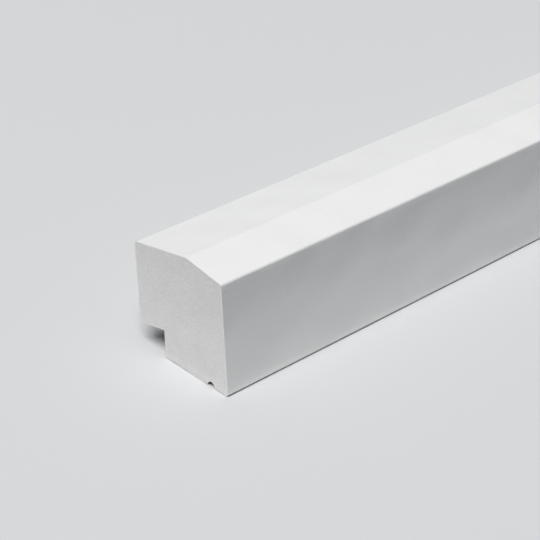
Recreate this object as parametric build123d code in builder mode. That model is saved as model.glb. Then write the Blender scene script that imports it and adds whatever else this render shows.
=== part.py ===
from build123d import *
from math import cos, radians, sin, tan
import os

# Sill moulding: one straight length of cellular PVC with a constant section.
# Millimetres. +X runs along the stock, -Y is the front, +Z is up.
# It is drawn as it lies on a floor, on the sloped underside, so the whole section
# leans forward by that slope. The section itself is written as it is fitted on a
# wall: the back plumb, the top ledge level.

# the stock
length = 2438.4
depth = 44.45
height = 50.8

# the sloped front of the top
front_height = 44.45
ledge_width = 27.0

# the rabbet cut out of the lower back corner
rabbet_depth = 12.7
rabbet_shoulder_height = 18.0

# the underside, which falls towards the front and ends in a drip lip
underside_slope = 12.0
drip_groove_radius = 1.75
drip_groove_depth = 2.0
drip_groove_setback = 8.5

# the rounding that the extrusion die leaves on each corner of the section
lip_radius = 0.8
front_top_radius = 1.2
ridge_radius = 3.0
back_top_radius = 1.5
back_bottom_radius = 3.2
rabbet_inner_radius = 0.4
underside_rear_radius = 1.0
drip_groove_front_edge_radius = 1.0
drip_groove_rear_edge_radius = 0.2

# the corners of the section: first how far behind the front face, then how high
# above the drip lip
rabbet_wall = depth - rabbet_depth
rise = tan(radians(underside_slope))

lip = (0, 0)
front_top = (0, front_height)
ridge = (depth - ledge_width, height)
back_top = (depth, height)
back_bottom = (depth, rabbet_shoulder_height)
rabbet_inner = (rabbet_wall, rabbet_shoulder_height)
underside_rear = (rabbet_wall, rabbet_wall * rise)
drip_groove = (
    drip_groove_setback,
    drip_groove_setback * rise + drip_groove_depth - drip_groove_radius,
)

corner_radii = (
    lip_radius,
    front_top_radius,
    ridge_radius,
    back_top_radius,
    back_bottom_radius,
    rabbet_inner_radius,
    underside_rear_radius,
)

with BuildSketch() as section:
    with BuildLine():
        FilletPolyline(
            lip, front_top, ridge, back_top, back_bottom, rabbet_inner, underside_rear,
            radius=corner_radii,
            close=True,
        )
    make_face()
    with Locations(drip_groove):
        Circle(drip_groove_radius, mode=Mode.SUBTRACT)
    rear_edge = section.vertices().sort_by_distance(drip_groove)[:2].sort_by(Axis.X)[-1]
    fillet(rear_edge, radius=drip_groove_rear_edge_radius)
    front_edge = section.vertices().sort_by_distance(drip_groove)[:2].sort_by(Axis.X)[0]
    fillet(front_edge, radius=drip_groove_front_edge_radius)

# The section's plane leans forward by the slope, and is set so that the moulding
# is centred on the origin front to back and stands on z = 0.
lean = radians(underside_slope)
leaning = section.sketch.rotate(Axis.Z, -underside_slope).bounding_box()
end_plane = Plane(
    origin=(-length / 2, -leaning.center().X, -leaning.min.Y),
    x_dir=(0, cos(lean), -sin(lean)),
    z_dir=(1, 0, 0),
)

with BuildPart() as sill_moulding:
    with BuildSketch(end_plane):
        add(section.sketch)
    extrude(amount=length)

sill_moulding.part.label = "sill_moulding"

os.makedirs("parts", exist_ok=True)
export_step(sill_moulding.part, "parts/sill_moulding.step")
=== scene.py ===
import math
import random

import bpy
import numpy as np
from mathutils import Matrix, Vector, noise
from mathutils.geometry import delaunay_2d_cdt


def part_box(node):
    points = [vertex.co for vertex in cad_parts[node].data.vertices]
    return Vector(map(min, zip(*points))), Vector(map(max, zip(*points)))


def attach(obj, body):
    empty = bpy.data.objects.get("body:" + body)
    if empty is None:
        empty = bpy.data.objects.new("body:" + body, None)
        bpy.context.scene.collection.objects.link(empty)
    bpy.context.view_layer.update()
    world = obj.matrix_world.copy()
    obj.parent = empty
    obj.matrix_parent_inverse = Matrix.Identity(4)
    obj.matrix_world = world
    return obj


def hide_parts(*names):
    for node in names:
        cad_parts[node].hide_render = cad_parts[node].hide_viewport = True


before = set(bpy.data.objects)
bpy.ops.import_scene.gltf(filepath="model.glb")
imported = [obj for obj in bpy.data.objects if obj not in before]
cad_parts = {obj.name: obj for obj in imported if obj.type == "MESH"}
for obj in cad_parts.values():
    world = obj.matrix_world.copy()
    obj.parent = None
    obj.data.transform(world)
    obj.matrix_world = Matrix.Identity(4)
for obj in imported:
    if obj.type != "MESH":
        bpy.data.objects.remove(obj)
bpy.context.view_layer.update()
low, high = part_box("sill_moulding")

MM = 0.001

# section as it is fitted, measured back from the front face and up from the lip

DEPTH = 44.45 * MM
HEIGHT = 50.8 * MM
FRONT_HEIGHT = 44.45 * MM
LEDGE_WIDTH = 27.0 * MM
RABBET_WALL = DEPTH - 12.7 * MM
SHOULDER_HEIGHT = 18.0 * MM
SLOPE = math.radians(12)
GROOVE_RADIUS = 1.75 * MM
GROOVE_DEPTH = 2.0 * MM
GROOVE_SETBACK = 8.5 * MM
GROOVE_FRONT_EDGE = 1.0 * MM
GROOVE_REAR_EDGE = 0.2 * MM
EASED_HEIGHT = 1.8 * MM    # this much of the front, below its top edge, leans back a little
EASED_LEAN = math.radians(3)


def eased_top():
    """Where the leaning strip at the top of the front meets the sloped face."""
    steepness = (HEIGHT - FRONT_HEIGHT) / (DEPTH - LEDGE_WIDTH)
    back = EASED_HEIGHT / (1 / math.tan(EASED_LEAN) - steepness)
    return back, FRONT_HEIGHT + back * steepness


# each corner of the section, with the radius of its rounding
CORNERS = [
    ((0, 0), 0.8 * MM),
    ((0, FRONT_HEIGHT - EASED_HEIGHT), 30 * MM),
    (eased_top(), 1.2 * MM),
    ((DEPTH - LEDGE_WIDTH, HEIGHT), 3.0 * MM),
    ((DEPTH, HEIGHT), 1.5 * MM),
    ((DEPTH, SHOULDER_HEIGHT), 3.2 * MM),
    ((RABBET_WALL, SHOULDER_HEIGHT), 0.4 * MM),
    ((RABBET_WALL, RABBET_WALL * math.tan(SLOPE)), 1.0 * MM),
]
ARC_STEP = math.radians(7)
LEAST_STEPS = 2

# skin mesh

RING_PITCH = 60 * MM
SAWN_EDGE = 0.05 * MM      # rounding left where the saw meets the skin
EDGE_STEPS = 3

# sawn ends

CUT_WANDER = 0.2 * MM      # how far the saw strayed from a true plane
CUT_WAVE = 9 * MM
CUT_SWING = 0.7            # how much of that a wave can take up, to each side of its middle
CUT_APART = 7.3            # keeps the two ends from being alike
CELL_PITCH = 0.28 * MM     # spacing of the points on the sawn face
CELL_JITTER = 0.3          # how far they are moved, as a share of the spacing
RIM_GAP = 0.6              # how far they stay off the rim, as a share of the spacing
CELL_SIZE = 0.9 * MM       # one torn patch of the foam
CELL_DEPTH = 0.03 * MM
PATCH_SHARE = 0.45         # its width, next to an area that is torn more or less deeply
SKIN_LINE = (0.3 * MM, 0.6 * MM)   # the solid skin: full up to here, gone from here
SKIN_BAND = (0.5 * MM, 1.5 * MM)   # torn foam: begins here, and is full from here
LEFT_SEED = 3
RIGHT_SEED = 8

# skin look, with textures in features per metre along each axis

SKIN_TONES = (0.815, 0.817, 0.815, 1), (0.835, 0.835, 0.832, 1)
SKIN_ROUGHNESS = 0.38, 0.46
NOISE_RANGE = 0.3, 0.7     # between which most values of a noise lie
DRIFT = (4, 40, 40)
DIE_LINES = (2, 900, 900)
DIE_LINE_DEPTH = 0.01 * MM
RIPPLE = (45, 70, 70)
RIPPLE_START = (15.3, 1.1, 6.6)
RIPPLE_DEPTH = 0.6 * MM
PEEL = (600, 800, 800)
PEEL_DEPTH = 0.12 * MM

# foam look

FOAM_TONES = (0.83, 0.83, 0.828, 1), (0.755, 0.755, 0.753, 1)
FOAM_ROUGHNESS = 0.55, 0.8
CUT_SKIN_TONE = (0.815, 0.817, 0.815, 1)
FOAM_CELLS = (600, 900, 1200)
FOAM_CLOUD = (150, 150, 200)
FOAM_DEPTH = 0.04 * MM
MOTTLE_RANGE = 0.5, 1.3    # between which most sums of the cells and the cloud lie

# floor, and what it throws back on the part

FLOOR_TONE = (0.62, 0.63, 0.64, 1)
FLOOR_REACH = 60.0         # half of its side
FLOOR_DROP = 0.1 * MM      # kept clear of the part's underside
FLOOR_ROUGHNESS = 0.9
CARD_TONE = 0.97           # a white card along the front and the left end
CARD_REACH = 37 * MM
GAP_TONE = 0.03            # a dark band in that card
GAP_START = 4.2 * MM
GAP_END = 12.0 * MM
CONTACT_SHADE = 0.9 * MM   # the card is black up to here
BAND_EDGE = 0.1            # softness of these edges, as a share of their distance
NEAR_GAIN = 1.14           # the card is this much whiter at the left end
NEAR_REACH = 0.15
END_CARD_SHARE = 0.63      # and this much greyer beyond it, from END_RAMP on
END_RAMP = 1.2 * MM
FILL_CARD_TONE = 0.7       # a wide card behind the part and to its right
CORNER_TONE = 0.22         # the same card behind the left end

# light: a soft sun, and a lamp nearer by that makes it fall off along the length

KEY_DIRECTION = Vector((-0.441, -0.042, 0.88)).normalized()
KEY_SPREAD = math.radians(35)
KEY_COLOUR = (1.0, 0.985, 0.968)
KEY_STRENGTH = 2.82
NEAR_LAMP_DISTANCE = 3.2
NEAR_LAMP_POWER = 22.0
SKY_COLOUR = (0.84, 0.96, 1.12, 1)
SKY_STRENGTH = 0.12

# camera, as found from the photograph

EYE = Vector((-1.68746, -0.43153, 0.42883))
FORWARD = Vector((0.65672, 0.54988, -0.51608))
RIGHTWARD = Vector((0.68571, -0.72024, 0.10516))
FOCAL_PIXELS = 2064.2
PICTURE_PIXELS = 540
SENSOR_WIDTH = 36.0
CLIP_RANGE = 0.05, 200


def share(value):
    """The value, held between 0 and 1."""
    return min(max(value, 0), 1)


# section outline

def arc(centre, radius, start, end, outward):
    """Points and normals on an arc. outward is 1 where the material is inside it."""
    steps = max(LEAST_STEPS, math.ceil(abs(end - start) / ARC_STEP))
    made = []
    for i in range(steps + 1):
        a = start + (end - start) * i / steps
        d = Vector((math.cos(a), math.sin(a)))
        made.append((centre + d * radius, d * outward))
    return made


def rounded(before, corner, after, radius):
    """The rounding of one corner of an outline that runs clockwise."""
    a = (before - corner).normalized()
    b = (after - corner).normalized()
    half = a.angle(b) / 2
    centre = corner + (a + b).normalized() * radius / math.sin(half)
    first = corner + a * radius / math.tan(half) - centre
    last = corner + b * radius / math.tan(half) - centre
    start = math.atan2(first.y, first.x)
    turn = first.angle_signed(last)
    return arc(centre, radius, start, start - turn, 1 if turn > 0 else -1)


def groove_edge(radius, lift):
    """The centre of an edge's rounding seen from the groove's own centre, and its angle."""
    up = radius - lift
    aside = math.sqrt((GROOVE_RADIUS + radius) ** 2 - up ** 2)
    return aside, up, math.atan2(up, aside)


def drip_groove():
    """The round groove and its rounded edges, from the rear edge to the front one."""
    rise = GROOVE_DEPTH - GROOVE_RADIUS
    centre = Vector((GROOVE_SETBACK, GROOVE_SETBACK * math.tan(SLOPE) + rise))
    lift = rise * math.cos(SLOPE)
    down = -math.pi / 2
    rear_aside, rear_up, rear_dip = groove_edge(GROOVE_REAR_EDGE, lift)
    front_aside, front_up, front_dip = groove_edge(GROOVE_FRONT_EDGE, lift)
    rear = Vector((rear_aside, rear_up))
    front = Vector((-front_aside, front_up))
    local = arc(rear, GROOVE_REAR_EDGE, down, rear_dip - math.pi, 1)
    local += arc(Vector((0, 0)), GROOVE_RADIUS, rear_dip, math.pi - front_dip, -1)[1:-1]
    local += arc(front, GROOVE_FRONT_EDGE, -front_dip, down, 1)
    turn = Matrix.Rotation(SLOPE, 2)
    return [(centre + turn @ p, turn @ n) for p, n in local]


def section_outline():
    """Points and outward normals round the section, leaning as the part lies: (y, z)."""
    points = [Vector(c) for c, _ in CORNERS]
    outline = []
    for i, (_, radius) in enumerate(CORNERS):
        outline += rounded(points[i - 1], points[i], points[(i + 1) % len(points)], radius)
    outline += drip_groove()
    lean = Matrix.Rotation(-SLOPE, 2)
    outline = [(lean @ p, lean @ n) for p, n in outline]
    ys = [p.x for p, _ in outline]
    middle = Vector(((min(ys) + max(ys)) / 2, 0))
    return [(p - middle, n) for p, n in outline]


# mesh pieces

def add_piece(name, verts, faces, material, normals=None):
    mesh = bpy.data.meshes.new(name)
    mesh.from_pydata(verts, [], faces)
    mesh.materials.append(material)
    mesh.shade_smooth()
    if normals:
        mesh.normals_split_custom_set_from_vertices(normals)
    piece = bpy.data.objects.new(name, mesh)
    bpy.context.scene.collection.objects.link(piece)
    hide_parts("sill_moulding")
    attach(piece, "root")
    return piece


def strayed(y, z, side):
    """How far inside its true plane the cut lies, by the place on the end."""
    spot = Vector((side * CUT_APART, y / CUT_WAVE, z / CUT_WAVE))
    return CUT_WANDER * share(0.5 + CUT_SWING * noise.noise(spot))


def ring_places():
    """Rings along the length: x, how far set in, and how far the normal turns to the end."""
    rings = []
    for i in range(EDGE_STEPS + 1):
        a = math.pi / 2 * (1 - i / EDGE_STEPS)
        x = low.x + SAWN_EDGE * (1 - math.sin(a))
        rings.append((x, SAWN_EDGE * (1 - math.cos(a)), -a))
    right_end = [(-x, inset, -a) for x, inset, a in reversed(rings)]
    spans = round((high.x - low.x) / RING_PITCH)
    pitch = (high.x - low.x - 2 * SAWN_EDGE) / spans
    rings += [(low.x + SAWN_EDGE + pitch * i, 0, 0) for i in range(1, spans)]
    return rings + right_end


def skin(outline, material):
    """All the long faces, and the small rounding where each end was sawn."""
    rings = ring_places()
    verts, normals = [], []
    for x, inset, a in rings:
        side = math.copysign(1, x)
        at_end = high.x - abs(x) < 2 * SAWN_EDGE
        for p, n in outline:
            q = p - n * inset
            verts.append((x - side * at_end * strayed(q.x, q.y, side), q.x, q.y))
            normals.append((math.sin(a), n.x * math.cos(a), n.y * math.cos(a)))
    count = len(outline)
    faces = []
    for ring in range(len(rings) - 1):
        for i in range(count):
            j = (i + 1) % count
            here, beyond = ring * count, (ring + 1) * count
            faces.append((here + i, beyond + i, beyond + j, here + j))
    return add_piece("moulding_skin", verts, faces, material, normals)


def clearance(points, loop):
    """How far inside the closed loop each point lies, negative outside it."""
    start = np.array(loop)
    run = np.roll(start, -1, axis=0) - start
    nearest = np.full(len(points), np.inf)
    inside = np.zeros(len(points), bool)
    for (sx, sy), (rx, ry) in zip(start, run):
        dx, dy = points[:, 0] - sx, points[:, 1] - sy
        t = np.clip((dx * rx + dy * ry) / (rx * rx + ry * ry), 0, 1)
        nearest = np.minimum(nearest, np.hypot(dx - t * rx, dy - t * ry))
        if ry:
            crosses = (sy > points[:, 1]) != (sy + ry > points[:, 1])
            inside ^= crosses & (dx < dy * rx / ry)
    return np.where(inside, nearest, -nearest)


def scattered(reach, seed):
    """Points in uneven rows, over a square that reaches this far from the middle."""
    rng = random.Random(seed)
    row_pitch = CELL_PITCH * math.sqrt(3) / 2
    rows = math.ceil(reach / row_pitch)
    columns = math.ceil(reach / CELL_PITCH)
    points = []
    for row in range(-rows, rows + 1):
        for column in range(-columns, columns + 1):
            stagger = row % 2 / 2
            y = (column + stagger + rng.uniform(-CELL_JITTER, CELL_JITTER)) * CELL_PITCH
            z = (row + rng.uniform(-CELL_JITTER, CELL_JITTER)) * row_pitch
            points.append((y, z))
    return np.array(points)


def sawn_end(name, outline, side, material, seed):
    """One sawn face: the foam's torn cells in the core, a dense smooth rim round it."""
    loop = [tuple(p - n * SAWN_EDGE) for p, n in outline]
    core = scattered(max(math.hypot(y, z) for y, z in loop), seed)
    core = core[clearance(core, loop) > RIM_GAP * CELL_PITCH]
    # the triangles are made in millimetres, because the tolerance is coarse in metres
    flat = [Vector(p) / MM for p in [*loop, *core]]
    ring = list(range(len(loop)))
    inside_only, tolerance = 1, 1e-5
    points, _, faces, *_ = delaunay_2d_cdt(flat, [], [ring], inside_only, tolerance)
    points = np.array([tuple(p) for p in points]) * MM
    rim = np.maximum(clearance(points, loop), 0)
    verts = []
    for (y, z), depth in zip(points, rim):
        ease = share((depth - SKIN_BAND[0]) / (SKIN_BAND[1] - SKIN_BAND[0]))
        spot = Vector((seed, y / CELL_SIZE, z / CELL_SIZE))
        from_patch = noise.voronoi(spot)[0][0]
        torn = 0.5 + 0.5 * noise.noise(spot * PATCH_SHARE)
        sunk = CELL_DEPTH * ease * max(0, 1 - from_patch) * torn
        verts.append((side * (high.x - sunk - strayed(y, z, side)), y, z))
    if side < 0:
        faces = [f[::-1] for f in faces]
    piece = add_piece(name, verts, faces, material)
    piece.data.attributes.new("rim", "FLOAT", "POINT").data.foreach_set("value", rim)
    return piece


# materials

class Nodes:
    """A material's node tree, and short ways to add to it."""

    def __init__(self, name):
        self.material = bpy.data.materials.new(name)
        self.material.use_nodes = True
        self.tree = self.material.node_tree
        self.shader = self.tree.nodes["Principled BSDF"]

    def add(self, kind, **inputs):
        node = self.tree.nodes.new(kind)
        for key, value in inputs.items():
            self.set(node.inputs[key.replace("_", " ")], value)
        return node

    def set(self, socket, value):
        if isinstance(value, bpy.types.NodeSocket):
            self.tree.links.new(value, socket)
        else:
            socket.default_value = value

    def place(self, scale, start=(0, 0, 0)):
        """The place on the part, in features per metre along each axis."""
        where = self.add("ShaderNodeTexCoord").outputs["Object"]
        scaled = self.add("ShaderNodeVectorMath", Vector=where)
        scaled.operation = "MULTIPLY_ADD"
        scaled.inputs[1].default_value = scale
        scaled.inputs[2].default_value = start
        return scaled.outputs["Vector"]

    def noise(self, vector, detail=2.0, roughness=0.5):
        node = self.add("ShaderNodeTexNoise", Vector=vector, Scale=1.0, Detail=detail,
                        Roughness=roughness)
        return node.outputs["Fac"]

    def cells(self, vector):
        node = self.add("ShaderNodeTexVoronoi", Vector=vector, Scale=1.0)
        return node.outputs["Distance"]

    def ranged(self, value, low, high, to_low, to_high):
        node = self.add("ShaderNodeMapRange", Value=value)
        for key, number in zip(("From Min", "From Max", "To Min", "To Max"),
                               (low, high, to_low, to_high)):
            self.set(node.inputs[key], number)
        return node.outputs["Result"]

    def step(self, value, at, before, after):
        """One number up to a distance and another past it, with a soft edge between."""
        return self.ranged(value, (1 - BAND_EDGE) * at, (1 + BAND_EDGE) * at, before, after)

    def math(self, operation, a, b):
        node = self.add("ShaderNodeMath")
        node.operation = operation
        self.set(node.inputs[0], a)
        self.set(node.inputs[1], b)
        return node.outputs["Value"]

    def times(self, a, b):
        return self.math("MULTIPLY", a, b)

    def above(self, value, limit):
        """1 where the value is above the limit, and 0 elsewhere."""
        return self.math("GREATER_THAN", value, limit)

    def mix(self, factor, a, b):
        node = self.add("ShaderNodeMix")
        node.data_type = "RGBA"
        sockets = {s.identifier: s for s in (*node.inputs, *node.outputs)}
        self.set(sockets["Factor_Float"], factor)
        self.set(sockets["A_Color"], a)
        self.set(sockets["B_Color"], b)
        return sockets["Result_Color"]

    def bump(self, height, distance, after=None):
        node = self.add("ShaderNodeBump", Height=height, Distance=distance)
        if after:
            self.set(node.inputs["Normal"], after)
        return node.outputs["Normal"]


def skin_material():
    """Extruded skin: satin white, with faint lines from the die along the length, soft
    ripples about 20 mm long, and a slight orange peel."""
    n = Nodes("extruded_skin")
    drift = n.noise(n.place(DRIFT))
    lines = n.noise(n.place(DIE_LINES), detail=3.0)
    peel = n.noise(n.place(PEEL))
    ripple = n.noise(n.place(RIPPLE, RIPPLE_START), detail=0.0)
    n.set(n.shader.inputs["Base Color"], n.mix(drift, *SKIN_TONES))
    n.set(n.shader.inputs["Roughness"], n.ranged(lines, *NOISE_RANGE, *SKIN_ROUGHNESS))
    bumped = n.bump(lines, DIE_LINE_DEPTH)
    bumped = n.bump(ripple, RIPPLE_DEPTH, bumped)
    n.set(n.shader.inputs["Normal"], n.bump(peel, PEEL_DEPTH, bumped))
    return n.material


def core_material():
    """Sawn foam: matt, faintly mottled, with a pale line where the solid skin is cut."""
    n = Nodes("sawn_foam")
    rim = n.add("ShaderNodeAttribute")
    rim.attribute_name = "rim"
    foam = n.ranged(rim.outputs["Fac"], *SKIN_BAND, 0, 1)
    line = n.ranged(rim.outputs["Fac"], *SKIN_LINE, 1, 0)
    cells = n.cells(n.place(FOAM_CELLS))
    cloud = n.noise(n.place(FOAM_CLOUD), detail=3.0, roughness=0.9)
    mottle = n.math("ADD", cells, cloud)
    colour = n.mix(n.ranged(mottle, *MOTTLE_RANGE, 0, 1), *FOAM_TONES)
    n.set(n.shader.inputs["Base Color"], n.mix(line, colour, CUT_SKIN_TONE))
    n.set(n.shader.inputs["Roughness"], n.ranged(foam, 0, 1, *FOAM_ROUGHNESS))
    n.set(n.shader.inputs["Normal"], n.bump(mottle, FOAM_DEPTH))
    return n.material


def floor_material():
    """Pale where it is seen. What it throws back on the part is set apart: a narrow
    white card along the front and the left end, and a wide one behind and to the right."""
    n = Nodes("studio_floor")
    position = n.add("ShaderNodeNewGeometry").outputs["Position"]
    place = n.add("ShaderNodeSeparateXYZ", Vector=position)
    x, y = place.outputs["X"], place.outputs["Y"]
    ahead = n.math("MAXIMUM", n.math("SUBTRACT", low.y, y), 0)
    left = n.math("MAXIMUM", n.math("SUBTRACT", low.x, x), 0)
    squares = n.math("ADD", n.math("POWER", ahead, 2), n.math("POWER", left, 2))
    away = n.math("POWER", squares, 0.5)

    card = n.step(away, GAP_START, CARD_TONE, GAP_TONE)
    card = n.step(away, GAP_END, card, CARD_TONE)
    card = n.times(card, n.above(away, CONTACT_SHADE))
    card = n.times(card, n.step(away, CARD_REACH, 1, 0))
    near_gain = n.ranged(x, low.x, low.x + NEAR_REACH, NEAR_GAIN, 1)
    end_gain = n.ranged(left, 0, END_RAMP, near_gain, END_CARD_SHARE)
    card = n.times(card, n.ranged(ahead, 0, GAP_END, end_gain, near_gain))

    behind = n.ranged(x, low.x - GAP_END, low.x, CORNER_TONE, FILL_CARD_TONE)
    behind = n.times(behind, n.above(y, high.y))
    right = n.times(FILL_CARD_TONE, n.above(x, high.x))
    thrown = n.math("MAXIMUM", card, n.math("MAXIMUM", behind, right))
    # painted shade: the floor under the front half of the part throws back no light, which
    # darkens the inside of the drip groove
    shade_under_part = n.times(n.above(y, low.y + GAP_START), n.math("LESS_THAN", y, 0))
    shade_under_part = n.times(shade_under_part, n.above(x, low.x))
    thrown = n.times(thrown, n.math("SUBTRACT", 1, shade_under_part))
    thrown = n.add("ShaderNodeCombineColor", Red=thrown, Green=thrown, Blue=thrown)

    rays = n.add("ShaderNodeLightPath").outputs
    seen = n.math("MAXIMUM", rays["Is Camera Ray"], rays["Is Glossy Ray"])
    seen = n.math("MAXIMUM", seen, rays["Is Transmission Ray"])
    n.set(n.shader.inputs["Base Color"], n.mix(seen, thrown.outputs["Color"], FLOOR_TONE))
    n.set(n.shader.inputs["Roughness"], FLOOR_ROUGHNESS)
    return n.material


# floor, light and camera

def studio_floor():
    mesh = bpy.data.meshes.new("studio_floor")
    signs = [(-1, -1), (1, -1), (1, 1), (-1, 1)]
    corners = [(x * FLOOR_REACH, y * FLOOR_REACH, -FLOOR_DROP) for x, y in signs]
    mesh.from_pydata(corners, [], [(0, 1, 2, 3)])
    mesh.materials.append(floor_material())
    floor = bpy.data.objects.new("studio_floor", mesh)
    bpy.context.scene.collection.objects.link(floor)


def add_lamp(name, kind, power):
    """A lamp that shines from KEY_DIRECTION, placed as seen from the left end."""
    data = bpy.data.lights.new(name, kind)
    data.energy = power
    data.color = KEY_COLOUR
    lamp = bpy.data.objects.new(name, data)
    lamp.location = Vector((low.x, 0, 0)) + KEY_DIRECTION * NEAR_LAMP_DISTANCE
    lamp.rotation_mode = "QUATERNION"
    lamp.rotation_quaternion = KEY_DIRECTION.to_track_quat("Z", "Y")
    bpy.context.scene.collection.objects.link(lamp)
    return data


def studio_light():
    world = bpy.data.worlds.new("studio")
    world.use_nodes = True
    sky = world.node_tree.nodes["Background"]
    sky.inputs["Color"].default_value = SKY_COLOUR
    sky.inputs["Strength"].default_value = SKY_STRENGTH
    bpy.context.scene.world = world
    add_lamp("key", "SUN", KEY_STRENGTH).angle = KEY_SPREAD
    near = add_lamp("near_lamp", "AREA", NEAR_LAMP_POWER)
    near.shape = "DISK"
    near.size = 2 * NEAR_LAMP_DISTANCE * math.tan(KEY_SPREAD / 2)


def camera():
    """The photograph's view: the near end, from above its front."""
    data = bpy.data.cameras.new("camera")
    data.sensor_width = SENSOR_WIDTH
    data.lens = FOCAL_PIXELS / PICTURE_PIXELS * SENSOR_WIDTH
    data.clip_start, data.clip_end = CLIP_RANGE
    eye = bpy.data.objects.new("camera", data)
    forward = FORWARD.normalized()
    right = (RIGHTWARD - forward * RIGHTWARD.dot(forward)).normalized()
    up = right.cross(forward)
    turn = Matrix((right, up, -forward)).transposed()
    eye.matrix_world = Matrix.Translation(EYE) @ turn.to_4x4()
    bpy.context.scene.collection.objects.link(eye)
    bpy.context.scene.camera = eye


outline = section_outline()
foam = core_material()
skin(outline, skin_material())
sawn_end("sawn_end_left", outline, -1, foam, LEFT_SEED)
sawn_end("sawn_end_right", outline, 1, foam, RIGHT_SEED)
studio_floor()
studio_light()
camera()
bpy.context.scene.view_settings.view_transform = "Standard"
